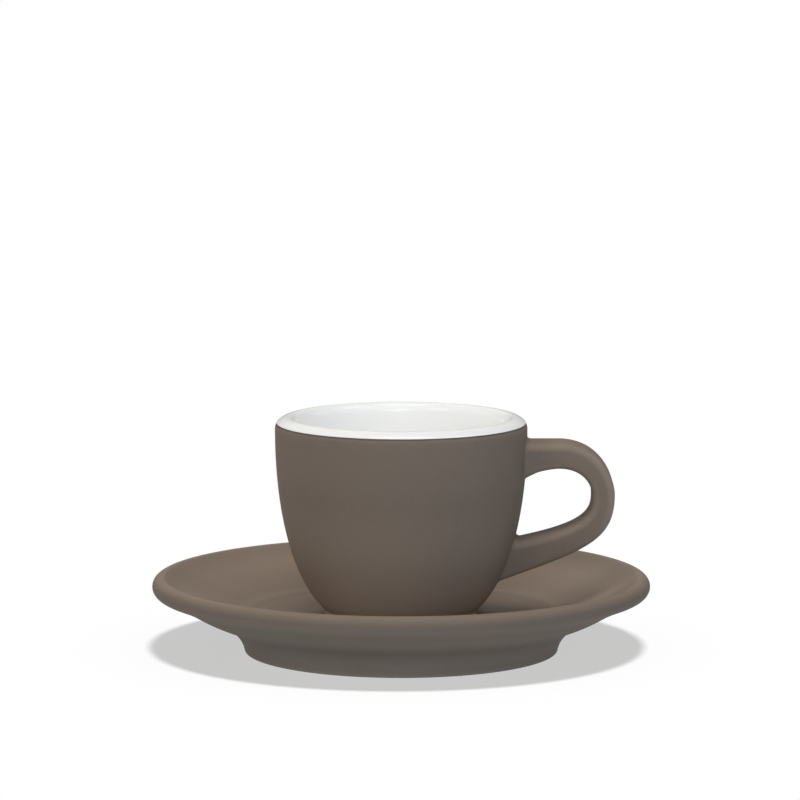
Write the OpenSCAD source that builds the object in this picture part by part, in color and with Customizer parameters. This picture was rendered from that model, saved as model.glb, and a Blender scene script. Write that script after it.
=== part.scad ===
// Espresso cup with a strap handle, standing in the well of its saucer.
// Millimetres. Z is up, the origin is the centre of the saucer's foot on the table,
// and the handle points along +X.

/* [Saucer] */
// Diameter over the rim
saucer_d = 122; // [112:1:140]
// Height of the rim's crest above the table
saucer_h = 18.5; // [16:0.1:22]
// Radius of the rounded rim
rim_round = 2.3; // [1.8:0.1:2.8]
// Diameter at which the well's floor would meet the slope of the dish
well_d = 77.2; // [70:0.2:86]
// Height of the well's floor above the table
well_h = 9.2; // [8:0.1:11]
// Radius of the turn from the well's floor into the slope
well_blend = 14; // [6:0.5:18]
// Thickness of the saucer under the well
floor_t = 4.5; // [3.5:0.1:5.5]
// Diameter of the foot at the table
saucer_foot_d = 76.9; // [68:0.2:84]
// Width of the foot's ring
saucer_foot_w = 4; // [3:0.1:6]
// Radius of the hollow flare from the foot into the underside
foot_flare = 9; // [7:0.5:11]
// Steepness of the flare at the foot, in degrees
foot_lean = 77; // [70:1:84]
// Slope of the underside behind the rim and at the top of the flare, in degrees
under_slope = 20.5; // [18:0.5:24]
// Length of the pulls that hollow the underside behind the rim and belly it over the flare
under_pull = 9.5; // [7:0.5:11]
// Height of the bare clay band on the saucer's foot, which rounds its edges
saucer_bare_h = 0.5; // [0.3:0.05:0.8]
// Radius inside the foot, where its ring meets the underside
recess_round = 2; // [1:0.1:3]

/* [Cup] */
// Widest diameter of the bowl, just below the lip
cup_d = 61.7; // [56:0.1:68]
// Height of the cup from its foot to the lip's crest
cup_h = 48.6; // [44:0.1:56]
// Width of the lip
lip_w = 5.2; // [4:0.1:6]
// Height of the lip's rounding outside
lip_h = 2.9; // [2:0.1:3.5]
// Height of the lip's rounding inside
lip_in_h = 2.3; // [1.5:0.1:3]
// Length of the pull that keeps the wall upright below the lip
belly_pull = 36; // [30:0.2:38]
// Diameter of the straight foot
cup_foot_d = 37.6; // [32:0.2:42]
// Height of the straight foot
cup_foot_h = 1.3; // [1:0.1:2.5]
// Width of the foot's ring
cup_foot_w = 3.2; // [2.4:0.1:5]
// Height of the hollow under the cup
cup_recess_h = 1.4; // [0.8:0.1:2]
// Height of the bare clay band on the cup's foot, which rounds its edges
cup_bare_h = 0.4; // [0.25:0.05:0.6]
// Thickness of the bowl's floor
cup_floor_t = 4.9; // [4:0.1:7]
// Diameter of the flat floor inside
cup_floor_d = 18; // [12:0.5:22]
// Length of the pull along the floor into the heel
heel_pull = 9.5; // [7:0.5:11]
// Length of the pull down the wall inside
hollow_pull = 27; // [22:0.5:30]

/* [White glaze] */
// Thickness of the white glaze
glaze_t = 0.4; // [0.3:0.05:0.6]
// Depth of the colour line below the lip's crest
glaze_drop = 1.6; // [1:0.1:2]

/* [Handle] */
// How far the handle stands out from the bowl's widest diameter
handle_out = 21.3; // [18:0.1:28]
// Depth of the handle's top below the lip's crest
handle_drop = 5.9; // [5:0.1:8]
// Width of the strap, from one side of the handle to the other
strap_w = 11.4; // [8:0.2:14]
// Thickness of the strap in the upper arm
arm_t = 6.5; // [5.5:0.1:7.5]
// Thickness of the upper arm where it meets the bowl
root_t = 7.6; // [7:0.1:8.6]
// Slope of the upper arm's underside at the bowl, in degrees
root_lean = 26; // [18:1:34]
// Thickness of the strap at its outermost point
grip_t = 5.6; // [5:0.1:6.6]
// Upright thickness of the lower arm below the bowl's widest diameter
lower_t = 8; // [6.5:0.1:9]
// Depth of the outermost point below the handle's top
tip_drop = 13; // [11:0.2:15]
// Depth of the lower arm's underside below the handle's top
lower_drop = 31.7; // [29:0.1:34]
// Slope of the lower arm's underside at the bowl, in degrees
under_lean = 20; // [14:1:24]
// Slope of the lower arm's upper face at the bowl, in degrees
over_lean = 12.5; // [8:0.5:18]
// Radius of the strap's edges
strap_round = 2.1; // [1.2:0.1:2.4]
// Radius of the slip fillet round each root
root_round = 1.3; // [0.8:0.1:1.8]
// Thickness of the fired slip between the bowl and each root
slip_t = 0.03; // [0.02:0.01:0.1]

/* [Hidden] */

$fn = 128;
taupe = [0.42, 0.37, 0.33];
white = [0.94, 0.94, 0.93];
clay = [0.80, 0.74, 0.66];

// Steps of a rim or lip, of a long curve and of a small fillet
round_steps = 12;
curve_steps = 20;
fillet_steps = 4;

// Saucer
foot_r = saucer_foot_d / 2;
rim_c = [saucer_d / 2 - rim_round, saucer_h - rim_round];
well_edge = [well_d / 2, well_h];
to_rim = rim_c - well_edge;
dish_slope = atan2(to_rim.y, to_rim.x) + asin(rim_round / norm(to_rim));
recess_z = well_h - floor_t;
recess_r = foot_r - saucer_foot_w;

// Underside of the dish: a curve that leaves the rim and runs into the flare at the same slope
down = [-cos(under_slope), -sin(under_slope)];
below = [sin(under_slope), -cos(under_slope)];
rim_end = rim_c + rim_round * below;
flare_c = [foot_r, saucer_bare_h] + foot_flare * [sin(foot_lean), -cos(foot_lean)];
flare_top = flare_c - foot_flare * below;

// Cup
cup_r = cup_d / 2;
cup_z = well_h;
lip_z = cup_z + cup_h;
cup_foot_r = cup_foot_d / 2;
kink = [cup_foot_r, cup_z + cup_foot_h];
lip_foot = [cup_r, lip_z - lip_h];
crest_share = 0.65;
crest_out = crest_share * lip_w;
crest_r = cup_r - crest_out;
hollow_r = cup_r - lip_w;
hollow_z = lip_z - lip_in_h;
cup_recess_z = cup_z + cup_recess_h;
bowl_floor_z = cup_recess_z + cup_floor_t;
line_angle = asin(1 - glaze_drop / lip_h);

// Handle, in the plane through its middle: x outwards and z up
top_z = lip_z - handle_drop;
start_x = cup_r + 1.5 * root_round;
tip_x = cup_r + handle_out;
tip_z = top_z - tip_drop;
lower_z = top_z - lower_drop;
// Shares of handle_out, tip_drop and lower_drop at which the strap's curves bend
straight_share = 0.36;
root_in_shares = [0.055, 0.29];
bend_out_shares = [0.48, 0.31];
bend_in_shares = [0.26, 0.22];
sweep_out_shares = [0.54, 0.78];
sweep_in_shares = [0.2, 0.76];
strap_rings = [5, 12, 18];
seat_steps = 26;
cap_rings = 4;
flat_steps = 4;
fillet_turn = 75;

function arc(c, rx, rz, a0, a1, n) = [
    for (i = [0:n])
        let (a = a0 + (a1 - a0) * i / n)
        c + [rx * cos(a), rz * sin(a)]
];

function curve_at(p, t) =
    pow(1 - t, 3) * p[0] + 3 * pow(1 - t, 2) * t * p[1] + 3 * (1 - t) * t * t * p[2] + t * t * t * p[3];

function curve(p, n) = [for (i = [0:n]) curve_at(p, i / n)];

function but_first(list) = [for (i = [1:1:len(list) - 1]) list[i]];

function reversed(list) = [for (i = [len(list) - 1:-1:0]) list[i]];

// The outline moved sideways by d, to the right of its direction of travel
function beside(list, d) = [
    for (i = [0:len(list) - 1])
        let (
            a = list[max(i - 1, 0)],
            b = list[min(i + 1, len(list) - 1)],
            t = (b - a) / norm(b - a)
        )
        list[i] + d * [t.y, -t.x]
];

// Ring that stands on the foot: its lower edges are rounded by its own height
function band_outline(r_out, w, h, z) = concat(
    arc([r_out - h, z + h], h, h, 0, -90, fillet_steps),
    arc([r_out - w + h, z + h], h, h, -90, -180, fillet_steps)
);

// Saucer, from the axis over the top, round the rim and back under the foot
saucer_outline = concat(
    [[0, recess_z], [0, well_h]],
    arc(
        [well_edge.x - well_blend * tan(dish_slope / 2), well_h + well_blend],
        well_blend, well_blend, -90, dish_slope - 90, fillet_steps
    ),
    arc(rim_c, rim_round, rim_round, dish_slope + 90, under_slope - 90, 2 * round_steps),
    but_first(curve([
        rim_end,
        rim_end + under_pull * down,
        flare_top - under_pull * down,
        flare_top
    ], round_steps)),
    but_first(arc(flare_c, foot_flare, foot_flare, under_slope + 90, foot_lean + 90, round_steps)),
    [[recess_r, saucer_bare_h]],
    arc([recess_r - recess_round, recess_z - recess_round], recess_round, recess_round, 0, 90, fillet_steps)
);

// Outside of the bowl above its foot, up to the widest point
wall = curve([kink, kink, lip_foot - [0, belly_pull], lip_foot], curve_steps);
lip_out = arc([crest_r, lip_foot.y], crest_out, lip_h, 0, line_angle, fillet_steps);

// Face of the white glaze, from the colour line over the crest and down to the axis
glaze_face = concat(
    arc([crest_r, lip_foot.y], crest_out, lip_h, line_angle, 90, round_steps),
    but_first(arc([crest_r, hollow_z], crest_r - hollow_r, lip_in_h, 90, 180, round_steps)),
    but_first(curve([
        [hollow_r, hollow_z],
        [hollow_r, hollow_z - hollow_pull],
        [cup_floor_d / 2 + heel_pull, bowl_floor_z],
        [cup_floor_d / 2, bowl_floor_z]
    ], curve_steps)),
    [[0, bowl_floor_z]]
);
glaze_back = [
    for (p = beside(glaze_face, -glaze_t))
        [max(p.x, 0), p.y]
];

bowl_outline = concat(
    [
        [0, cup_recess_z],
        [cup_foot_r - cup_foot_w, cup_recess_z],
        [cup_foot_r - cup_foot_w, cup_z + cup_bare_h],
        [cup_foot_r, cup_z + cup_bare_h]
    ],
    wall,
    but_first(lip_out),
    glaze_back
);

module saucer_plate() {
    color(taupe)
        rotate_extrude()
            polygon(saucer_outline);
}

module saucer_foot_band() {
    color(clay)
        rotate_extrude()
            polygon(band_outline(foot_r, saucer_foot_w, saucer_bare_h, 0));
}

module cup_bowl() {
    color(taupe)
        rotate_extrude()
            polygon(bowl_outline);
}

module cup_liner() {
    color(white)
        rotate_extrude()
            polygon(concat(glaze_face, reversed(glaze_back)));
}

module cup_foot_band() {
    color(clay)
        rotate_extrude()
            polygon(band_outline(cup_foot_r, cup_foot_w, cup_bare_h, cup_z));
}

// Radius of the bowl's outside at a height
wall_table = [for (p = wall) [p.y, p.x]];
function wall_r(z) = lookup(z, wall_table);

// First point at which a line from p along d comes to the slip on the bowl
function seat(p, d, lo = 0, hi = cup_r, n = seat_steps) =
    let (mid = (lo + hi) / 2, q = p + mid * d)
    n == 0 ? q
    : norm([q.x, q.y]) > wall_r(q.z) + slip_t ? seat(p, d, mid, hi, n - 1)
    : seat(p, d, lo, mid, n - 1);

// Section of the strap: half its thickness h and half its width w, both grown by e
function strap_outline(h, w, e) =
    let (
        r = strap_round + e,
        ch = h - strap_round,
        cw = w - strap_round,
        flat = [for (i = [1:flat_steps - 1]) cw - 2 * cw * i / flat_steps]
    )
    concat(
        arc([ch, cw], r, r, 0, 90, fillet_steps),
        arc([-ch, cw], r, r, 90, 180, fillet_steps),
        [for (y = flat) [-ch - r, y]],
        arc([-ch, -cw], r, r, 180, 270, fillet_steps),
        arc([ch, -cw], r, r, 270, 360, fillet_steps),
        [for (y = flat) [ch + r, -y]]
    );

// The section set between the strap's outer edge and its inner edge
function strap_ring(outer, inner, e = 0, s = 1) =
    let (
        mid = (outer + inner) / 2,
        across = (outer - inner) / norm(outer - inner)
    )
    [
        for (p = strap_outline(norm(outer - inner) / 2, strap_w / 2, e))
            [mid.x + s * p.x * across.x, s * p.y, mid.y + s * p.x * across.y]
    ];

// Direction from a point of a strap's ring to the bowl, between the leans of its two edges
function to_bowl(p, outer, inner, leans) =
    let (
        across = outer - inner,
        s = ([p.x, p.z] - inner) * across / (across * across),
        lean = leans[1] + s * (leans[0] - leans[1])
    )
    [-cos(lean), 0, -sin(lean)];

// Root rings, from the plain strap out to the bowl, with the fillet's flare
function root_rings(outer, inner, leans) = [
    for (i = [0:fillet_steps])
        let (
            a = fillet_turn * i / fillet_steps,
            e = root_round * (1 - cos(a)),
            back = root_round * (sin(fillet_turn) - sin(a))
        )
        [
            for (p = strap_ring(outer, inner, e))
                let (d = to_bowl(p, outer, inner, leans))
                seat(p, d) - back * d
        ]
];

// Rings across the end of a root, which lie on the bowl
function cap_rings_of(outer, inner, leans) = [
    for (i = [1:cap_rings - 1])
        let (e = root_round * (1 - cos(fillet_turn)))
        [
            for (p = strap_ring(outer, inner, e, 1 - i / cap_rings))
                seat(p, to_bowl(p, outer, inner, leans))
        ]
];

function cap_centre(outer, inner, leans) =
    let (mid = (outer + inner) / 2, p = [mid.x, 0, mid.y])
    seat(p, to_bowl(p, outer, inner, leans));

// Curves of the strap's outer and inner edges, each in three stretches
outer_curves = [
    [
        [start_x, top_z],
        [start_x, top_z],
        [cup_r + straight_share * handle_out, top_z],
        [cup_r + straight_share * handle_out, top_z]
    ],
    [
        [cup_r + straight_share * handle_out, top_z],
        [cup_r + (straight_share + bend_out_shares[0]) * handle_out, top_z],
        [tip_x, tip_z + bend_out_shares[1] * tip_drop],
        [tip_x, tip_z]
    ],
    [
        [tip_x, tip_z],
        [tip_x, tip_z - sweep_out_shares[0] * (tip_z - lower_z)],
        [cup_r, lower_z] + sweep_out_shares[1] * handle_out * [cos(under_lean), sin(under_lean)],
        [cup_r, lower_z]
    ]
];
inner_curves = [
    [
        [start_x, top_z - root_t],
        [start_x, top_z - root_t] + root_in_shares[0] * handle_out * [cos(root_lean), sin(root_lean)],
        [cup_r + root_in_shares[1] * handle_out, top_z - arm_t],
        [cup_r + straight_share * handle_out, top_z - arm_t]
    ],
    [
        [cup_r + straight_share * handle_out, top_z - arm_t],
        [cup_r + (straight_share + bend_in_shares[0]) * handle_out, top_z - arm_t],
        [tip_x - grip_t, tip_z + bend_in_shares[1] * tip_drop],
        [tip_x - grip_t, tip_z]
    ],
    [
        [tip_x - grip_t, tip_z],
        [tip_x - grip_t, tip_z - sweep_in_shares[0] * (tip_z - lower_z)],
        [cup_r, lower_z + lower_t] + sweep_in_shares[1] * handle_out * [cos(over_lean), sin(over_lean)],
        [cup_r, lower_z + lower_t]
    ]
];
first_outer = outer_curves[0][0];
first_inner = inner_curves[0][0];
last_outer = outer_curves[2][3];
last_inner = inner_curves[2][3];
// Slopes at which the outer and the inner edge come to the bowl, at the upper and the lower root
top_leans = [0, root_lean];
low_leans = [under_lean, over_lean];

handle_rings = concat(
    reversed(cap_rings_of(first_outer, first_inner, top_leans)),
    reversed(root_rings(first_outer, first_inner, top_leans)),
    [
        for (k = [0:2], i = [0:strap_rings[k] - 1])
            let (t = i / strap_rings[k])
            strap_ring(curve_at(outer_curves[k], t), curve_at(inner_curves[k], t))
    ],
    [strap_ring(last_outer, last_inner)],
    root_rings(last_outer, last_inner, low_leans),
    cap_rings_of(last_outer, last_inner, low_leans)
);
ring_n = len(handle_rings[0]);
last_ring = len(handle_rings) - 1;
end_points = [
    cap_centre(first_outer, first_inner, top_leans),
    cap_centre(last_outer, last_inner, low_leans)
];
handle_points = concat([for (ring = handle_rings, p = ring) p], end_points);
top_centre = len(handle_points) - 2;
low_centre = len(handle_points) - 1;

handle_faces = concat(
    [
        for (k = [0:last_ring - 1], i = [0:ring_n - 1])
            let (
                j = (i + 1) % ring_n,
                a = k * ring_n,
                b = a + ring_n
            )
            each [[a + i, b + j, b + i], [a + i, a + j, b + j]]
    ],
    [for (i = [0:ring_n - 1]) [top_centre, (i + 1) % ring_n, i]],
    [
        for (i = [0:ring_n - 1])
            [low_centre, last_ring * ring_n + i, last_ring * ring_n + (i + 1) % ring_n]
    ]
);

// Strap handle: one swept skin whose edges follow two curves, whose roots flare into
// a fillet of slip, and whose ends lie on the bowl's curved wall
module cup_handle() {
    color(taupe)
        polyhedron(handle_points, handle_faces);
}

saucer_plate();
saucer_foot_band();
cup_bowl();
cup_liner();
cup_handle();
cup_foot_band();
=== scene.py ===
import math

import bmesh
import bpy
import numpy as np
from mathutils import Matrix, Vector


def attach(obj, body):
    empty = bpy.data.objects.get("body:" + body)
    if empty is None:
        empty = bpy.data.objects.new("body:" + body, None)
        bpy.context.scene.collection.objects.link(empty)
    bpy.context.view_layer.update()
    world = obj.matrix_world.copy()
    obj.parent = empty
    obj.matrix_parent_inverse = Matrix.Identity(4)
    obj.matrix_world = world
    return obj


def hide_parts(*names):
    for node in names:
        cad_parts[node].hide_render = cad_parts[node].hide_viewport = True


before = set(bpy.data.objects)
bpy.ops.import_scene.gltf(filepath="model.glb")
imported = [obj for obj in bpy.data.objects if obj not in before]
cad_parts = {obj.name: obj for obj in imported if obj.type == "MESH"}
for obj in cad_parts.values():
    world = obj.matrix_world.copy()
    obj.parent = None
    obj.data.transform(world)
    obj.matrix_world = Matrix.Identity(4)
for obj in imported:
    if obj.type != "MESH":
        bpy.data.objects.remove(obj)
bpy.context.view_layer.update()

MM = 0.001

# Saucer, in millimetres and degrees
SAUCER_R = 61.0
RIM_Z = 18.5
RIM_ROUND = 2.3
WELL_R = 38.6
WELL_Z = 9.2
WELL_BLEND = 14.0
SAUCER_RECESS_Z = 4.7
RECESS_ROUND = 2.0
SAUCER_FOOT_R = 38.45
SAUCER_FOOT_W = 4.0
SAUCER_BAND_H = 0.5
FOOT_FLARE = 9.0
FOOT_LEAN = 77.0
UNDER_SLOPE = 20.5
UNDER_PULL = 9.5

# Cup, in millimetres
CUP_R = 30.85
CUP_Z = 9.2
LIP_Z = 57.8
LIP_W = 5.2
LIP_H = 2.9
LIP_IN_H = 2.3
# From the bowl's widest point in to the lip's crest
CREST_OUT = 0.65 * LIP_W
BELLY_PULL = 36.0
CUP_FOOT_R = 18.8
CUP_FOOT_H = 1.3
CUP_FOOT_W = 3.2
CUP_RECESS_Z = 10.6
CUP_RECESS_ROUND = 0.6
CUP_BAND_H = 0.4
INSIDE_FLOOR_Z = 15.5
INSIDE_FLOOR_R = 9.0
INSIDE_HEEL_PULL = 9.5
HOLLOW_PULL = 27.0
# Where the wall's curve starts after the softened kink over the foot, as a share of the curve
HEEL_START = 0.15
HEEL_REACH = 0.75

# White glaze, in millimetres
GLAZE_T = 0.4
GLAZE_DROP = 1.4
BEAD_T = 0.07
BEAD_REACH = 0.6
BEAD_ROUND = 0.12
# Where it ends on the outside of the lip: the turn in degrees, and the height
LINE_TURN = math.degrees(math.asin(1 - GLAZE_DROP / LIP_H))
COLOUR_LINE_Z = LIP_Z - GLAZE_DROP

# Handle, in millimetres and degrees
HANDLE_OUT = 21.3
HANDLE_TOP = 51.9
STRAP_W = 11.4
STRAP_ROUND = 2.1
ARM_T = 6.5
ROOT_T = 7.6
GRIP_T = 5.6
LOWER_T = 8.0
TIP_DROP = 13.0
LOWER_DROP = 31.7
UNDER_LEAN = 20.0
OVER_LEAN = 12.5
ROOT_LEAN = 26.0
ROOT_START = 1.95
ROOT_ROUND = 1.2
SUNK = 0.4
STRAIGHT_SHARE = 0.36
# Rings along the arm, the bend and the lower arm
STRAP_STEPS = (14, 40, 60)
# Pulls of the strap's outer edge, as shares of its reach and of its drops over and under the tip
OUTER_BEND_PULL = 0.48
OUTER_OVER_TIP = 0.31
OUTER_UNDER_TIP = 0.54
OUTER_LOW_PULL = 0.78
# The same of its inner edge
INNER_ROOT_PULL = 0.055
INNER_ARM_AT = 0.29
INNER_BEND_PULL = 0.26
INNER_OVER_TIP = 0.22
INNER_UNDER_TIP = 0.2
INNER_LOW_PULL = 0.76

# Painted shade on the saucer under its rim, by the distance in millimetres below the rim's crest
GATHERED_AT = (1.6, 3.4, 5.0, 12.0, 16.0)
GATHERED = (0.0, 0.75, 0.72, 0.66, 0.40)
# Painted light on the bowl towards its foot, against the shade near the saucer, by its height in
# millimetres
DRAINED_AT = (12.0, 16.0, 40.0)
DRAINED = (1.0, 0.488, 0.0)
# The dark line where the taupe glaze pooled under the white: below the colour line, in millimetres
POOLED_DROP = 0.25
POOLED_HALF = 0.34
POOLED_WAVER = 0.25

# Colours of the taupe glaze, at the level that the fit of the lamps gave
TAUPE = (0.178, 0.138, 0.109, 1)
TAUPE_CLOUD = (0.194, 0.150, 0.118, 1)
TAUPE_GRAIN = (0.209, 0.165, 0.130, 1)
# Painted shade under the saucer's rim and towards the bowl's lip
TAUPE_THICK = (0.124, 0.097, 0.078, 1)
# Painted light on the saucer's dish and crest and on the bowl towards its foot
TAUPE_PALE = (0.307, 0.240, 0.187, 1)
# Thin glaze on sharp edges, with a painted highlight there, most on the handle
TAUPE_THIN = (0.268, 0.213, 0.167, 1)
TAUPE_DARK_SPECK = (0.092, 0.070, 0.056, 1)
TAUPE_LIGHT_SPECK = (0.337, 0.278, 0.228, 1)
TAUPE_POOLED = (0.064, 0.051, 0.042, 1)

# Colours of the white glaze
WHITE = (0.892, 0.885, 0.872, 1)
WHITE_CLOUD = (0.906, 0.901, 0.889, 1)
# Thick white inside the cup, with painted light
WHITE_DEEP = (0.944, 0.940, 0.930, 1)
WHITE_PINHOLE = (0.52, 0.48, 0.43, 1)

# Colours of the bare clay
CLAY = (0.57, 0.49, 0.40, 1)
CLAY_CLOUD = (0.66, 0.58, 0.48, 1)
CLAY_GRIT = (0.25, 0.19, 0.14, 1)
CLAY_MARK = (0.48, 0.41, 0.33, 1)
CLAY_STAIN = (0.165, 0.130, 0.103, 1)

SIDES = 256
SHARP_FROM = math.radians(35)


# Node trees


class Value:
    """A socket that numbers can be worked out from: each step adds its node."""

    def __init__(self, graph, socket):
        self.graph = graph
        self.socket = socket

    def _math(self, operation, *terms):
        return self.graph.value(
            "ShaderNodeMath", {"operation": operation}, dict(enumerate(terms)))

    def __add__(self, other):
        return self._math("ADD", self, other)

    __radd__ = __add__

    def __sub__(self, other):
        return self._math("SUBTRACT", self, other)

    def __rsub__(self, other):
        return self._math("SUBTRACT", other, self)

    def __mul__(self, other):
        return self._math("MULTIPLY", self, other)

    __rmul__ = __mul__

    def __truediv__(self, other):
        return self._math("DIVIDE", self, other)

    def __pow__(self, other):
        return self._math("POWER", self, other)

    def size(self):
        return self._math("ABSOLUTE", self)

    def wave(self):
        return self._math("SINE", self)

    def clamped(self):
        return self.graph.value("ShaderNodeClamp", {}, {0: self, 1: 0.0, 2: 1.0})

    def over(self, start, gain):
        """0 up to the start, then rising by the gain, up to 1."""
        return ((self - start) * gain).clamped()


class Graph:
    """Adds nodes to a tree: the settings come first, then the sockets' values or links."""

    def __init__(self, tree):
        self.tree = tree
        tree.nodes.clear()

    def add(self, kind, settings=None, sockets=None):
        node = self.tree.nodes.new(kind)
        for name, setting in (settings or {}).items():
            setattr(node, name, setting)
        for name, given in (sockets or {}).items():
            socket = node.inputs[name]
            if isinstance(given, Value):
                self.tree.links.new(given.socket, socket)
            elif isinstance(given, bpy.types.NodeSocket):
                self.tree.links.new(given, socket)
            else:
                socket.default_value = given
        return node

    def value(self, kind, settings=None, sockets=None, output=0):
        return Value(self, self.add(kind, settings, sockets).outputs[output])

    def mix(self, share, first, second):
        return self.add(
            "ShaderNodeMix", {"data_type": "RGBA"}, {0: share, 6: first, 7: second}
        ).outputs[2]


# Lines of (radius, height) points, in millimetres


def arc(centre, rx, rz, start, end, steps):
    turn = np.radians(np.linspace(start, end, steps + 1))
    return np.stack([centre[0] + rx * np.cos(turn), centre[1] + rz * np.sin(turn)], 1)


def curve_at(pulls, t):
    a, b, c, d = (np.array(p, float) for p in pulls)
    t = np.asarray(t, float)[..., None]
    return (1 - t) ** 3 * a + 3 * (1 - t) ** 2 * t * b + 3 * (1 - t) * t * t * c + t ** 3 * d


def curve(pulls, steps):
    return curve_at(pulls, np.linspace(0, 1, steps + 1))


def direction(slope):
    return np.array([math.cos(math.radians(slope)), math.sin(math.radians(slope))])


def outward(points):
    """Unit vectors to the right of a line, which is outwards where it runs up the outside."""
    along = np.gradient(points, axis=0)
    along /= np.linalg.norm(along, axis=1)[:, None]
    return np.stack([along[:, 1], -along[:, 0]], 1)


def run_along(points):
    """How far along the line each of its points is."""
    return np.concatenate([[0], np.cumsum(np.linalg.norm(np.diff(points, axis=0), axis=1))])


def joined(*stretches, longest=2.0):
    """One outline from its stretches, with no point twice and no straight step over longest."""
    points = np.concatenate([np.atleast_2d(np.array(s, float)) for s in stretches])
    line = [points[0]]
    for point in points[1:]:
        start = line[-1]
        gap = np.linalg.norm(point - start)
        if gap < 0.001:
            continue
        steps = math.ceil(gap / longest)
        line += [start + (point - start) * k / steps for k in range(1, steps + 1)]
    return np.array(line)


# Outlines of the turned pieces


def saucer_outline():
    """From the axis under the saucer, out over the foot, round the rim and over the dish."""
    recess_r = SAUCER_FOOT_R - SAUCER_FOOT_W
    recess_turn = (recess_r - RECESS_ROUND, SAUCER_RECESS_Z - RECESS_ROUND)
    rim = np.array([SAUCER_R - RIM_ROUND, RIM_Z - RIM_ROUND])
    to_rim = rim - [WELL_R, WELL_Z]
    past_rim = math.asin(RIM_ROUND / np.linalg.norm(to_rim))
    slope = math.degrees(math.atan2(to_rim[1], to_rim[0]) + past_rim)
    well_turn_r = WELL_R - WELL_BLEND * math.tan(math.radians(slope / 2))
    inward = -direction(UNDER_SLOPE)
    below = -direction(UNDER_SLOPE + 90)
    rim_end = rim + RIM_ROUND * below
    flare = np.array([SAUCER_FOOT_R, SAUCER_BAND_H]) - FOOT_FLARE * direction(FOOT_LEAN + 90)
    flare_top = flare - FOOT_FLARE * below
    under = [flare_top, flare_top - UNDER_PULL * inward, rim_end + UNDER_PULL * inward, rim_end]
    return joined(
        (0, SAUCER_RECESS_Z),
        arc(recess_turn, RECESS_ROUND, RECESS_ROUND, 90, 0, 10),
        (recess_r, SAUCER_BAND_H),
        arc(flare, FOOT_FLARE, FOOT_FLARE, FOOT_LEAN + 90, UNDER_SLOPE + 90, 22),
        curve(under, 30),
        arc(rim, RIM_ROUND, RIM_ROUND, UNDER_SLOPE - 90, slope + 90, 40),
        arc((well_turn_r, WELL_Z + WELL_BLEND), WELL_BLEND, WELL_BLEND, slope - 90, -90, 16),
        (0, WELL_Z),
    )


def foot_ring_outline(r_out, width, height, z):
    """A flat ring whose lower edges are rounded by its own height."""
    r_in = r_out - width
    return joined(
        arc((r_in + height, z + height), height, height, 180, 270, 8),
        arc((r_out - height, z + height), height, height, 270, 360, 8),
        (r_in + 0.01, z + height),
        longest=0.8,
    )


def wall_outline(steps):
    """Outside of the bowl from its foot to its widest point, the kink over the foot softened."""
    kink = np.array([CUP_FOOT_R, CUP_Z + CUP_FOOT_H])
    shoulder = np.array([CUP_R, LIP_Z - LIP_H])
    pulls = [kink, kink, shoulder - [0, BELLY_PULL], shoulder]
    start = curve_at(pulls, HEEL_START)
    after = curve_at(pulls, HEEL_START + 0.01)
    along = (after - start) / np.linalg.norm(after - start)
    foot_top = np.array([CUP_FOOT_R, CUP_Z + CUP_BAND_H])
    heel = [foot_top, foot_top + [0, HEEL_REACH], start - HEEL_REACH * along, start]
    wall = curve_at(pulls, np.linspace(HEEL_START, 1, steps))
    return joined(curve(heel, 10), wall, longest=9.0)


def white_face():
    """Face of the white glaze, from the colour line over the lip's crest down to the axis."""
    crest_r = CUP_R - CREST_OUT
    hollow = np.array([CUP_R - LIP_W, LIP_Z - LIP_IN_H])
    heel = (INSIDE_FLOOR_R + INSIDE_HEEL_PULL, INSIDE_FLOOR_Z)
    inside = [hollow, hollow - [0, HOLLOW_PULL], heel, (INSIDE_FLOOR_R, INSIDE_FLOOR_Z)]
    return joined(
        arc((crest_r, LIP_Z - LIP_H), CREST_OUT, LIP_H, LINE_TURN, 90, 24),
        arc((crest_r, hollow[1]), crest_r - hollow[0], LIP_IN_H, 90, 180, 20),
        curve(inside, 64),
        (0, INSIDE_FLOOR_Z),
    )


def white_back(face):
    """The glaze's other side, which is also the bowl's inside."""
    back = face - GLAZE_T * outward(face)
    back[:, 0] = np.maximum(back[:, 0], 0)
    return back


def bowl_outline():
    """From the axis under the cup, up the outside and down the inside behind the white glaze."""
    recess_r = CUP_FOOT_R - CUP_FOOT_W
    recess_turn = (recess_r - CUP_RECESS_ROUND, CUP_RECESS_Z - CUP_RECESS_ROUND)
    return joined(
        (0, CUP_RECESS_Z),
        arc(recess_turn, CUP_RECESS_ROUND, CUP_RECESS_ROUND, 90, 0, 6),
        (recess_r, CUP_Z + CUP_BAND_H),
        wall_outline(60),
        arc((CUP_R - CREST_OUT, LIP_Z - LIP_H), CREST_OUT, LIP_H, 0, LINE_TURN, 10),
        white_back(white_face()),
    )


def white_outline():
    """The glaze's shell, with a soft bead where it ends on the outside of the lip."""
    face = white_face()
    normal = outward(face)
    bead = BEAD_T * np.exp(-(run_along(face) / BEAD_REACH) ** 2)
    proud = face + bead[:, None] * normal
    first = normal[0]
    down = np.array([first[1], -first[0]])
    turn = np.radians(np.linspace(0, 90, 7))[:, None]
    nose = proud[0] - BEAD_ROUND * first + BEAD_ROUND * (np.cos(turn) * down + np.sin(turn) * first)
    return joined(white_back(face)[::-1], nose, proud[1:])


# How the glaze has run, and where light and shade are painted, from 0 to 1 at each point of an
# outline


def thinning(points, reach=0.6, full=0.22):
    """Thin glaze, with a painted highlight on it: 0 on flat and hollow stretches, up to 1 on sharp
    edges.
    """
    step = np.diff(points, axis=0)
    turn = np.diff(np.unwrap(np.arctan2(step[:, 1], step[:, 0])))
    run = run_along(points)
    near = np.exp(-((run[:, None] - run[None, 1:-1]) / reach) ** 2)
    bend = near @ turn / (reach * math.sqrt(math.pi))
    return np.clip(bend * full, 0, 1)


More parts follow.
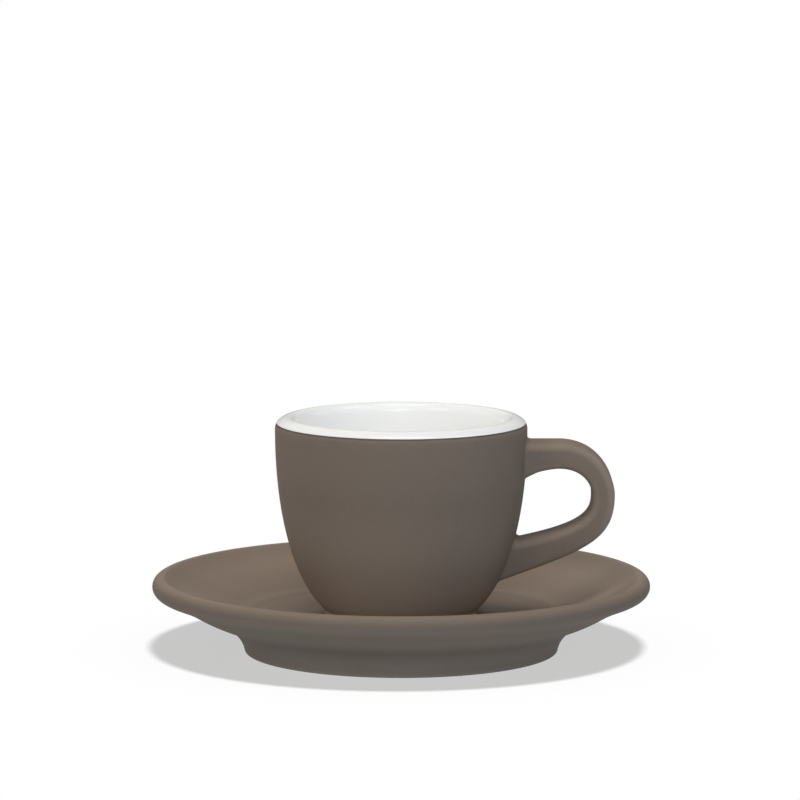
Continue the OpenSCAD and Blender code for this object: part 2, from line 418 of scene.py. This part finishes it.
def paleness(points, flat=6.0, steep=16.0, full_r=51.0, none_r=58.0,
             on_dish=0.078, on_slope=0.41, on_crest=0.27, crest_in=0.8, crest_out=1.9):
    """Painted light on the saucer: over the dish, more on its slope away from the rim, and a
    painted highlight on the rim's crest.
    """
    along = np.gradient(points, axis=0)
    slope = np.degrees(np.arctan2(np.abs(along[:, 1]), np.abs(along[:, 0])))
    sloping = np.clip((slope - flat) / (steep - flat), 0, 1)
    off_rim = np.clip((none_r - points[:, 0]) / (none_r - full_r), 0, 1)
    crest = points[:, 1].argmax()
    dish = np.arange(len(points)) > crest
    run = run_along(points)
    from_crest = (run - run[crest]) / np.where(dish, crest_in, crest_out)
    return dish * (on_dish + on_slope * sloping * off_rim) + on_crest * np.exp(-from_crest ** 2)


def gathered(points, foot_z=3.0, fade=3.0):
    """Painted shade on the saucer, under its rim and over its underside, fading out towards the
    foot.
    """
    run = run_along(points)
    below = run[points[:, 1].argmax()] - run
    share = np.interp(below, GATHERED_AT, GATHERED)
    return share * np.clip((points[:, 1] - foot_z) / fade, 0, 1)


def lapped(points, from_z=28.0, to_z=38.0, most=0.24):
    """Painted shade on the bowl, darker towards the lip."""
    return most * np.clip((points[:, 1] - from_z) / (to_z - from_z), 0, 1)


def drained(points):
    """Painted light on the bowl towards the foot, against the shade there near the saucer."""
    return np.interp(points[:, 1], DRAINED_AT, DRAINED)


def deep_white(points):
    """Thick white, with painted light: full inside, and less over the lip."""
    inside = points[:, 0] < CUP_R - CREST_OUT
    return inside * np.clip((LIP_Z - points[:, 1]) / LIP_IN_H, 0, 1)


def stained(ring, width=0.9, soft=0.5):
    """The glaze's colour that is left on a foot ring: only at its outer edge."""
    return np.clip((ring[:, 0] - ring[:, 0].max() + width) / soft, 0, 1)


# Turned forms: an outline swung round the axis


def turned_form_tree():
    tree = bpy.data.node_groups.new("turned_form", "GeometryNodeTree")
    sockets = tree.interface
    sockets.new_socket("Outline", in_out="INPUT", socket_type="NodeSocketGeometry")
    sockets.new_socket("Sides", in_out="INPUT", socket_type="NodeSocketInt")
    sockets.new_socket("Turning Radius", in_out="INPUT", socket_type="NodeSocketFloat")
    sockets.new_socket("Pole Closing", in_out="INPUT", socket_type="NodeSocketFloat")
    sockets.new_socket("Finish", in_out="INPUT", socket_type="NodeSocketMaterial")
    sockets.new_socket("Form", in_out="OUTPUT", socket_type="NodeSocketGeometry")
    g = Graph(tree)
    given = g.add("NodeGroupInput").outputs
    radius = Value(g, given["Turning Radius"])
    position = g.add("GeometryNodeInputPosition").outputs[0]
    place = g.add("ShaderNodeSeparateXYZ", {}, {0: position}).outputs
    section_place = g.value(
        "ShaderNodeCombineXYZ", {},
        {"X": Value(g, place["X"]) - radius, "Y": Value(g, place["Z"]) * -1},
    )
    outline = g.add("GeometryNodeMeshToCurve", {}, {"Mesh": given["Outline"]})
    section = g.add(
        "GeometryNodeSetPosition", {},
        {"Geometry": outline.outputs["Curve"], "Position": section_place},
    )
    wheel = g.add(
        "GeometryNodeCurvePrimitiveCircle", {"mode": "RADIUS"},
        {"Resolution": given["Sides"], "Radius": radius},
    )
    swung = g.add(
        "GeometryNodeCurveToMesh", {},
        {"Curve": wheel.outputs["Curve"], "Profile Curve": section.outputs["Geometry"]},
    )
    closed = g.add(
        "GeometryNodeMergeByDistance", {},
        {"Geometry": swung.outputs["Mesh"], "Distance": given["Pole Closing"]},
    )
    smooth = g.add(
        "GeometryNodeSetShadeSmooth", {},
        {"Geometry": closed.outputs["Geometry"], "Shade Smooth": True},
    )
    real = g.add("GeometryNodeRealizeInstances", {}, {"Geometry": smooth.outputs["Geometry"]})
    dressed = g.add(
        "GeometryNodeSetMaterial", {},
        {"Geometry": real.outputs["Geometry"], "Material": given["Finish"]},
    )
    g.add("NodeGroupOutput", {}, {"Form": dressed.outputs["Geometry"]})
    return tree


def finished(mesh):
    """Turns the faces outwards and keeps only real edges sharp."""
    form = bmesh.new()
    form.from_mesh(mesh)
    if form.calc_volume(signed=True) < 0:
        bmesh.ops.reverse_faces(form, faces=form.faces)
    form.to_mesh(mesh)
    form.free()
    mesh.shade_smooth()
    mesh.set_sharp_from_angle(angle=SHARP_FROM)


def turned(name, outline, finish, tree, loop=False, **glaze):
    """The mesh of an outline swung round the axis, with how its glaze has run and where light and
    shade are painted on it.
    """
    count = len(outline)
    rod = bpy.data.meshes.new(name + "_outline")
    edges = [(i, (i + 1) % count) for i in range(count if loop else count - 1)]
    rod.from_pydata([(r * MM, 0, z * MM) for r, z in outline], edges, [])
    for share, values in glaze.items():
        rod.attributes.new(share, "FLOAT", "POINT").data.foreach_set("value", values)
    holder = bpy.data.objects.new(name + "_outline", rod)
    bpy.context.scene.collection.objects.link(holder)
    swing = holder.modifiers.new("turned_form", "NODES")
    swing.node_group = tree
    sizes = {
        "Sides": SIDES, "Turning Radius": CUP_R * MM, "Pole Closing": 0.001 * MM, "Finish": finish
    }
    for item in tree.interface.items_tree:
        if item.name in sizes:
            swing[item.identifier] = sizes[item.name]
    seen = bpy.context.evaluated_depsgraph_get()
    mesh = bpy.data.meshes.new_from_object(holder.evaluated_get(seen))
    mesh.name = name
    bpy.data.objects.remove(holder)
    bpy.data.meshes.remove(rod)
    finished(mesh)
    return mesh


# Handle: a strap between two curves, with a fillet of slip round each root


def strap_edges():
    """The strap's outer and inner edges in the handle's plane, each in three stretches."""
    tip_x = CUP_R + HANDLE_OUT
    tip_z = HANDLE_TOP - TIP_DROP
    low_z = HANDLE_TOP - LOWER_DROP
    drop = tip_z - low_z
    bend_x = CUP_R + STRAIGHT_SHARE * HANDLE_OUT
    grip_x = tip_x - GRIP_T
    arm_z = HANDLE_TOP - ARM_T
    start = (CUP_R + ROOT_START, HANDLE_TOP)
    bend = (bend_x, HANDLE_TOP)
    low = np.array([CUP_R, low_z])
    high = low + [0, LOWER_T]
    root = np.array([start[0], HANDLE_TOP - ROOT_T])
    outer = [
        [start, start, bend, bend],
        [bend, (bend_x + OUTER_BEND_PULL * HANDLE_OUT, HANDLE_TOP),
         (tip_x, tip_z + OUTER_OVER_TIP * TIP_DROP), (tip_x, tip_z)],
        [(tip_x, tip_z), (tip_x, tip_z - OUTER_UNDER_TIP * drop),
         low + OUTER_LOW_PULL * HANDLE_OUT * direction(UNDER_LEAN), low],
    ]
    inner = [
        [root, root + INNER_ROOT_PULL * HANDLE_OUT * direction(ROOT_LEAN),
         (CUP_R + INNER_ARM_AT * HANDLE_OUT, arm_z), (bend_x, arm_z)],
        [(bend_x, arm_z), (bend_x + INNER_BEND_PULL * HANDLE_OUT, arm_z),
         (grip_x, tip_z + INNER_OVER_TIP * TIP_DROP), (grip_x, tip_z)],
        [(grip_x, tip_z), (grip_x, tip_z - INNER_UNDER_TIP * drop),
         high + INNER_LOW_PULL * HANDLE_OUT * direction(OVER_LEAN), high],
    ]
    return outer, inner


def strap_section(corner=12, long_flat=10, short_flat=5):
    """Points round the strap: their corner's two sides, their direction, how sharp the turn is,
    which sets the thin glaze and painted highlight on its edges.
    """
    corners = ((1, 1), (-1, 1), (-1, -1), (1, -1))
    points = []
    for side, (a, b) in enumerate(corners):
        for k in range(corner + 1):
            turn = math.radians(90 * side + 90 * k / corner)
            sharp = math.sin(2 * math.radians(90 * k / corner))
            points.append((a, b, math.cos(turn), math.sin(turn), sharp))
        next_a, next_b = corners[(side + 1) % 4]
        end = math.radians(90 * side + 90)
        flat = long_flat if side % 2 else short_flat
        for k in range(1, flat):
            s = k / flat
            points.append((
                a + (next_a - a) * s, b + (next_b - b) * s, math.cos(end), math.sin(end), 0.0))
    return np.array(points)


def strap_rings(section):
    """Rings of points along the strap, from the upper root to the lower one."""
    outer, inner = strap_edges()
    w = section[:, 1] * (STRAP_W / 2 - STRAP_ROUND) + section[:, 3] * STRAP_ROUND
    rings = []
    for k, steps in enumerate(STRAP_STEPS):
        for t in np.linspace(0, 1, steps, endpoint=(k == 2)):
            a, b = curve_at(outer[k], t), curve_at(inner[k], t)
            half = np.linalg.norm(a - b) / 2
            middle = (a + b) / 2
            across = (a - b) / (2 * half)
            h = section[:, 0] * (half - STRAP_ROUND) + section[:, 2] * STRAP_ROUND
            rings.append(np.stack([middle[0] + h * across[0], w, middle[1] + h * across[1]], 1))
    return rings


def nearest_on_wall(points, wall):
    """Nearest point of the bowl's outside to each of the points."""
    reach = np.hypot(points[:, 0], points[:, 1])
    flat = np.stack([reach, points[:, 2]], 1)
    a, b = wall[:-1], wall[1:]
    along = b - a
    t = ((flat[:, None] - a) * along).sum(2) / (along ** 2).sum(1)
    foot = a + np.clip(t, 0, 1)[:, :, None] * along
    best = np.linalg.norm(flat[:, None] - foot, axis=2).argmin(1)
    foot = foot[np.arange(len(flat)), best]
    x, y = points[:, 0] / reach * foot[:, 0], points[:, 1] / reach * foot[:, 0]
    return np.stack([x, y, foot[:, 1]], 1)


def root_fillet(ring, towards, wall, steps=12, past=10.0, nearest=-3.0, furthest=12.0):
    """Rings of a ball's fillet from a strap's last ring on to the bowl, and just under its face.

    The ball rolls along each line of the strap until it touches the bowl, found by halving.
    """
    around = np.roll(ring, -1, 0) - np.roll(ring, 1, 0)
    normal = np.cross(around, towards)
    normal /= np.linalg.norm(normal, axis=1)[:, None]
    normal *= np.sign((normal * (ring - ring.mean(0))).sum(1))[:, None]
    low = np.full(len(ring), nearest)
    high = np.full(len(ring), furthest)
    for _ in range(40):
        run = (low + high) / 2
        ball = ring + run[:, None] * towards + ROOT_ROUND * normal
        foot = nearest_on_wall(ball, wall)
        gap = np.linalg.norm(ball - foot, axis=1)
        inside = np.hypot(ball[:, 0], ball[:, 1]) < np.hypot(foot[:, 0], foot[:, 1])
        touching = (gap < ROOT_ROUND) | inside
        high = np.where(touching, run, high)
        low = np.where(touching, low, run)
    start = -normal
    end = (foot - ball) / gap[:, None]
    angle = np.arccos(np.clip((start * end).sum(1), -1, 1))
    rings = []
    for k in range(steps + 1):
        turn = (angle + math.radians(past)) * k / steps
        spoke = np.sin(angle - turn)[:, None] * start + np.sin(turn)[:, None] * end
        rings.append(ball + ROOT_ROUND * (spoke / np.sin(angle)[:, None]))
    rings.append(rings[-1] + SUNK * end)
    return rings


def to_bowl(section, outer_lean, inner_lean):
    """Direction to the bowl from each point of a ring, between the leans of the two edges."""
    share = (1 - section[:, 0]) / 2
    lean = np.radians(outer_lean + (inner_lean - outer_lean) * share)
    return np.stack([-np.cos(lean), 0 * lean, -np.sin(lean)], 1)


def handle_mesh(finish):
    """The strap with its two fillets, and thin glaze with a painted highlight on its edges that
    fades into the fillets.
    """
    section = strap_section()
    strap = strap_rings(section)
    wall = wall_outline(400)
    upper = root_fillet(strap[0], to_bowl(section, 0.0, ROOT_LEAN), wall)[::-1]
    lower = root_fillet(strap[-1], to_bowl(section, UNDER_LEAN, OVER_LEAN), wall)
    rings = upper + strap + lower
    count = len(section)
    points = np.concatenate(rings + [rings[0].mean(0)[None], rings[-1].mean(0)[None]])
    faces = []
    for k in range(len(rings) - 1):
        for i in range(count):
            j = (i + 1) % count
            faces.append((k * count + i, k * count + j, (k + 1) * count + j, (k + 1) * count + i))
    last = (len(rings) - 1) * count
    for i in range(count):
        j = (i + 1) % count
        faces.append((len(points) - 2, j, i))
        faces.append((len(points) - 1, last + i, last + j))
    mesh = bpy.data.meshes.new("handle")
    mesh.from_pydata((points * MM).tolist(), [], faces)
    into_strap = np.clip(np.linspace(-0.2, 1.0, len(upper)), 0, 1)
    fade = np.concatenate([into_strap, np.ones(len(strap)), into_strap[::-1]])
    thin = np.concatenate([section[:, 4] * f for f in fade] + [np.zeros(2)])
    mesh.attributes.new("glaze_thin", "FLOAT", "POINT").data.foreach_set("value", thin)
    mesh.materials.append(finish)
    finished(mesh)
    return mesh


# Finishes


def finish_graph(name):
    material = bpy.data.materials.new(name)
    material.use_nodes = True
    return material, Graph(material.node_tree)


def object_place(g):
    return g.add("ShaderNodeTexCoord").outputs["Object"]


def glaze_share(g, name):
    """A share written on the mesh: how the glaze has run, and where light and shade are painted."""
    return g.value("ShaderNodeAttribute", {"attribute_name": name}, {}, "Fac")


def from_axis(g, place, axis=(0.0, 0.0)):
    """Distance from an upright axis through a point in millimetres."""
    apart = g.add("ShaderNodeSeparateXYZ", {}, {0: place}).outputs
    x = Value(g, apart["X"]) - axis[0] * MM
    y = Value(g, apart["Y"]) - axis[1] * MM
    return (x * x + y * y) ** 0.5


def noise(g, place, scale, detail=2.0, roughness=0.5):
    return g.value(
        "ShaderNodeTexNoise", {},
        {"Vector": place, "Scale": scale, "Detail": detail, "Roughness": roughness},
    )


def specks(g, place, scale, radius, share, edge=14, pick=40):
    """Round specks of about that radius in a cell, in that share of the cells."""
    cells = g.add("ShaderNodeTexVoronoi", {}, {"Vector": place, "Scale": scale})
    chance = g.value("ShaderNodeSeparateColor", {}, {0: cells.outputs["Color"]})
    spot = ((radius - Value(g, cells.outputs["Distance"])) * edge).clamped()
    return spot * ((share - chance) * pick).clamped()


def surfaced(g, colour, roughness, gloss, relief, strength, depth):
    """The surface itself, with a relief of that depth in millimetres."""
    bump = g.add(
        "ShaderNodeBump", {}, {"Strength": strength, "Distance": depth * MM, "Height": relief})
    surface = g.add(
        "ShaderNodeBsdfPrincipled", {},
        {"Base Color": colour, "Roughness": roughness, "Specular IOR Level": gloss,
         "Normal": bump.outputs["Normal"]},
    )
    g.add("ShaderNodeOutputMaterial", {}, {"Surface": surface.outputs["BSDF"]})


def taupe_finish():
    material, g = finish_graph("matt_taupe_glaze")
    place = object_place(g)
    clouds = noise(g, place, 55.0, 3.0, 0.55)
    grain = noise(g, place, 900.0, 3.0, 0.6)
    fine = noise(g, place, 2600.0)
    peel = noise(g, place, 330.0)
    height = g.value("ShaderNodeSeparateXYZ", {}, {0: place}, "Z")
    waver = (noise(g, place, 160.0, 1.0) - 0.5) * (POOLED_WAVER * MM)
    from_line = (height + waver - (COLOUR_LINE_Z - POOLED_DROP) * MM).size()
    pooled = (1 - from_line / (POOLED_HALF * MM)).clamped()
    # Thin glaze on edges, with a painted highlight there, most on the handle
    thin = (glaze_share(g, "glaze_thin") * (0.55 + grain * 0.4)).clamped()
    colour = g.mix(clouds.over(0.3, 2.4), TAUPE, TAUPE_CLOUD)
    colour = g.mix(grain.over(0.36, 3.2) * 0.30, colour, TAUPE_GRAIN)
    # Painted shade under the saucer's rim and towards the bowl's lip
    colour = g.mix(glaze_share(g, "glaze_thick"), colour, TAUPE_THICK)
    # Painted light on the saucer's dish and crest and on the bowl towards its foot
    colour = g.mix(glaze_share(g, "glaze_pale"), colour, TAUPE_PALE)
    colour = g.mix(thin * 0.90, colour, TAUPE_THIN)
    colour = g.mix(specks(g, place, 520.0, 0.17, 0.16) * 0.16, colour, TAUPE_DARK_SPECK)
    colour = g.mix(specks(g, place, 310.0, 0.10, 0.08) * 0.08, colour, TAUPE_LIGHT_SPECK)
    colour = g.mix(pooled * 0.85, colour, TAUPE_POOLED)
    rough = 0.58 + clouds * 0.10 + grain * 0.10
    relief = peel * 0.6 + grain * 0.3 + fine * 0.1
    surfaced(g, colour, rough, gloss=0.08, relief=relief, strength=0.30, depth=0.06)
    return material


def white_finish():
    material, g = finish_graph("white_gloss_glaze")
    place = object_place(g)
    clouds = noise(g, place, 70.0)
    ripple = noise(g, place, 140.0, 1.0)
    colour = g.mix(clouds, WHITE, WHITE_CLOUD)
    # Thick white inside the cup, with painted light
    colour = g.mix(glaze_share(g, "glaze_deep"), colour, WHITE_DEEP)
    colour = g.mix(specks(g, place, 240.0, 0.06, 0.05) * 0.25, colour, WHITE_PINHOLE)
    rough = 0.045 + clouds * 0.03
    surfaced(g, colour, rough, gloss=0.30, relief=ripple, strength=0.20, depth=0.03)
    return material


def clay_finish():
    material, g = finish_graph("bare_clay")
    place = object_place(g)
    grain = noise(g, place, 1400.0, 3.0, 0.6)
    clouds = noise(g, place, 90.0)
    # Rings that the wiping sponge left on the turning foot
    marks = ((from_axis(g, place) * 9000 + clouds * 5).wave() * 0.5 + 0.5) * grain
    stain = (glaze_share(g, "glaze_stain") * (0.75 + grain * 0.3)).clamped()
    colour = g.mix(clouds, CLAY, CLAY_CLOUD)
    colour = g.mix(specks(g, place, 900.0, 0.22, 0.22) * 0.6, colour, CLAY_GRIT)
    colour = g.mix(marks * 0.35, colour, CLAY_MARK)
    colour = g.mix(stain, colour, CLAY_STAIN)
    rough = 0.80 + grain * 0.12
    relief = marks * 0.6 + grain * 0.4
    surfaced(g, colour, rough, gloss=0.25, relief=relief, strength=0.5, depth=0.08)
    return material


# Pieces


def shown(name, mesh, body, node):
    piece = bpy.data.objects.new(name, mesh)
    bpy.context.scene.collection.objects.link(piece)
    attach(piece, body)
    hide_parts(node)
    return piece


form = turned_form_tree()
taupe = taupe_finish()
white = white_finish()
clay = clay_finish()

saucer_line = saucer_outline()
bowl_line = bowl_outline()
white_line = white_outline()
saucer_ring_line = foot_ring_outline(SAUCER_FOOT_R, SAUCER_FOOT_W, SAUCER_BAND_H, 0.0)
cup_ring_line = foot_ring_outline(CUP_FOOT_R, CUP_FOOT_W, CUP_BAND_H, CUP_Z)

# The shares written on the saucer and the bowl hold painted light and painted shade as well as thin
# glaze
saucer = turned(
    "saucer", saucer_line, taupe, form, glaze_thin=thinning(saucer_line),
    glaze_pale=paleness(saucer_line), glaze_thick=gathered(saucer_line))
saucer_ring = turned(
    "saucer_foot_ring", saucer_ring_line, clay, form, loop=True,
    glaze_stain=stained(saucer_ring_line))
bowl = turned(
    "bowl", bowl_line, taupe, form, glaze_thin=thinning(bowl_line),
    glaze_pale=drained(bowl_line), glaze_thick=lapped(bowl_line))
lining = turned("white_glaze", white_line, white, form, glaze_deep=deep_white(white_line))
cup_ring = turned(
    "cup_foot_ring", cup_ring_line, clay, form, loop=True, glaze_stain=stained(cup_ring_line))

pieces = [
    shown("saucer", saucer, "saucer", "saucer_plate"),
    shown("saucer_foot_ring", saucer_ring, "saucer", "saucer_foot_band"),
    shown("bowl", bowl, "cup", "cup_bowl"),
    shown("white_glaze", lining, "cup", "cup_liner"),
    shown("handle", handle_mesh(taupe), "cup", "cup_handle"),
    shown("cup_foot_ring", cup_ring, "cup", "cup_foot_band"),
]


# Studio

# Each strength is what a white surface that faces the lamp would show. Most strengths and colours
# here, the floor's glow, share and uplight, and the level of the taupe glaze came out of a
# least-squares fit to the photograph, made outside this script, and some were changed.
LAMPS = (
    # name, kind, direction to the lamp, distance, size (the sun's is an angle), strength, colour
    ("floor_sun", "SUN", (0.07, -0.37, 1.0), 1.5, math.radians(10), 0.80, (1.0, 1.0, 1.0)),
    ("top_panel", "AREA", (0.0, -0.2, 1.0), 1.4, 0.90, 0.439, (1.0, 0.946, 0.907)),
    ("top_right", "AREA", (0.7, -0.2, 1.0), 1.4, 0.60, 0.145, (1.0, 0.972, 0.891)),
    ("front_low", "AREA", (0.0, -1.0, 0.2), 1.6, 0.60, 0.355, (0.753, 0.857, 1.0)),
    ("left_panel", "AREA", (-1.0, -0.3, 0.3), 1.5, 0.70, 0.035, (1.0, 1.0, 1.0)),
    ("right_panel", "AREA", (1.0, -0.5, 0.05), 1.5, 0.50, 0.070, (0.36, 0.68, 1.0)),
    ("left_back", "AREA", (-0.8, 0.7, 0.6), 1.5, 0.60, 0.244, (0.947, 1.0, 0.982)),
    ("right_back", "AREA", (0.9, 0.3, 0.29), 1.3, 0.12, 0.060, (0.90, 1.0, 1.0)),
    ("back_panel", "AREA", (0.0, 1.0, 0.6), 1.5, 0.70, 0.481, (0.882, 0.928, 1.0)),
    ("left_front", "AREA", (-0.7, -0.7, 0.5), 1.5, 0.60, 0.179, (1.0, 0.916, 0.725)),
)
LAMPS_AIM_Z = 0.03
# A panel further behind the cup than this would blotch the gloss of its far lip
GLOSSY_UP_TO_Y = 0.4
AMBIENT = 0.100
AMBIENT_COLOUR = (0.97, 0.985, 1.0, 1)
# How bright the white studio is in the glaze's gloss: the panels' gaps show there too
GLOSS_LEVEL = 0.30
# The floor as it is seen by the shadow: what it gives by itself, and its share of the sun's light
FLOOR_R = 0.60
FLOOR_GLOW = 0.527
FLOOR_SHARE = 0.54
# The floor as it lights the pieces from below
FLOOR_BOUNCE = 0.50
FLOOR_UPLIGHT = 0.450
UPLIGHT_COLOUR = (0.725, 0.88, 1.0, 1)
# Middle and radius of the saucer's shadow, and how far outside it the floor is plain white,
# in millimetres
SHADOW_AT = (-1.2, 6.3)
SHADOW_R = 64.0
WHITE_FROM = 22.0

# The camera that was fitted to the photograph, in metres, degrees and millimetres
CAMERA_AT = (0.0, -1.1878, 0.2157)
CAMERA_DOWN = 7.381
CAMERA_TURN = 0.01378
LENS = 220.77
SENSOR = 36.0


def lit_alone(name, *things):
    group = bpy.data.collections.new(name)
    for thing in things:
        group.objects.link(thing)
    return group


def studio_lamps(pieces, floor):
    """The panels light the pieces alone, and the sun draws their one sharp shadow on the floor."""
    by_panels = lit_alone("lit_by_panels", *pieces)
    by_sun = lit_alone("lit_by_sun", floor)
    for name, kind, towards, distance, size, strength, colour in LAMPS:
        lamp = bpy.data.lights.new(name, kind)
        lamp.color = colour
        if kind == "SUN":
            lamp.angle = size
            lamp.energy = strength * math.pi
        else:
            lamp.shape = "DISK"
            lamp.size = size
            lamp.energy = strength * math.pi ** 2 * distance ** 2
        towards = Vector(towards).normalized()
        stand = bpy.data.objects.new(name, lamp)
        stand.matrix_world = (
            Matrix.Translation(towards * distance + Vector((0, 0, LAMPS_AIM_Z)))
            @ towards.to_track_quat("Z", "Y").to_matrix().to_4x4()
        )
        bpy.context.scene.collection.objects.link(stand)
        stand.light_linking.receiver_collection = by_sun if kind == "SUN" else by_panels
        stand.visible_glossy = towards.y < GLOSSY_UP_TO_Y


def seen_share(g):
    """1 for the rays that show the white studio, and how bright: full but for the gloss."""
    path = g.add("ShaderNodeLightPath").outputs
    gloss = Value(g, path["Is Glossy Ray"])
    seen = (gloss + path["Is Camera Ray"] + path["Is Transmission Ray"]).clamped()
    return seen, 1 - gloss * (1 - GLOSS_LEVEL)


def studio_world():
    world = bpy.data.worlds.new("studio")
    bpy.context.scene.world = world
    world.use_nodes = True
    g = Graph(world.node_tree)
    seen, level = seen_share(g)
    soft = g.add("ShaderNodeBackground", {}, {"Color": AMBIENT_COLOUR, "Strength": AMBIENT})
    plain = g.add("ShaderNodeBackground", {}, {"Color": (1, 1, 1, 1), "Strength": level})
    mixed = g.add("ShaderNodeMixShader", {}, {0: seen, 1: soft.outputs[0], 2: plain.outputs[0]})
    g.add("ShaderNodeOutputWorld", {}, {"Surface": mixed.outputs[0]})


def grey(level):
    return (level, level, level, 1)


def floor_finish():
    """White, with the sun's shadow near the saucer. From below it is clear."""
    material, g = finish_graph("pale_floor")
    from_shadow = from_axis(g, object_place(g), SHADOW_AT)
    away = ((from_shadow - SHADOW_R * MM) / (WHITE_FROM * MM)).clamped()
    lit = g.add("ShaderNodeBsdfDiffuse", {}, {"Color": grey(FLOOR_SHARE)})
    glow = g.add("ShaderNodeEmission", {}, {"Color": grey(1), "Strength": FLOOR_GLOW})
    near = g.add("ShaderNodeAddShader", {}, {0: lit.outputs[0], 1: glow.outputs[0]})
    plain = g.add("ShaderNodeEmission", {}, {"Color": grey(1), "Strength": 1.0})
    seen = g.add("ShaderNodeMixShader", {}, {0: away, 1: near.outputs[0], 2: plain.outputs[0]})
    back = g.add("ShaderNodeBsdfDiffuse", {}, {"Color": grey(FLOOR_BOUNCE)})
    uplight = g.add(
        "ShaderNodeEmission", {}, {"Color": UPLIGHT_COLOUR, "Strength": FLOOR_UPLIGHT})
    bounce = g.add("ShaderNodeAddShader", {}, {0: back.outputs[0], 1: uplight.outputs[0]})
    either = g.add(
        "ShaderNodeMixShader", {},
        {0: seen_share(g)[0], 1: bounce.outputs[0], 2: seen.outputs[0]},
    )
    clear = g.add("ShaderNodeBsdfTransparent")
    under = g.add("ShaderNodeNewGeometry").outputs["Backfacing"]
    whole = g.add("ShaderNodeMixShader", {}, {0: under, 1: either.outputs[0], 2: clear.outputs[0]})
    g.add("ShaderNodeOutputMaterial", {}, {"Surface": whole.outputs[0]})
    return material


def studio_floor():
    disc = bmesh.new()
    bmesh.ops.create_circle(disc, cap_ends=True, radius=FLOOR_R, segments=128)
    mesh = bpy.data.meshes.new("floor")
    disc.to_mesh(mesh)
    disc.free()
    mesh.materials.append(floor_finish())
    floor = bpy.data.objects.new("floor", mesh)
    bpy.context.scene.collection.objects.link(floor)
    return floor


def studio_camera():
    lens = bpy.data.cameras.new("camera")
    lens.lens = LENS
    lens.sensor_width = SENSOR
    lens.clip_start = 0.05
    lens.clip_end = 20.0
    camera = bpy.data.objects.new("camera", lens)
    camera.location = CAMERA_AT
    camera.rotation_euler = (math.radians(90 - CAMERA_DOWN), 0.0, math.radians(CAMERA_TURN))
    bpy.context.scene.collection.objects.link(camera)
    bpy.context.scene.camera = camera


studio_lamps(pieces, studio_floor())
studio_world()
studio_camera()
bpy.context.scene.view_settings.view_transform = "Standard"
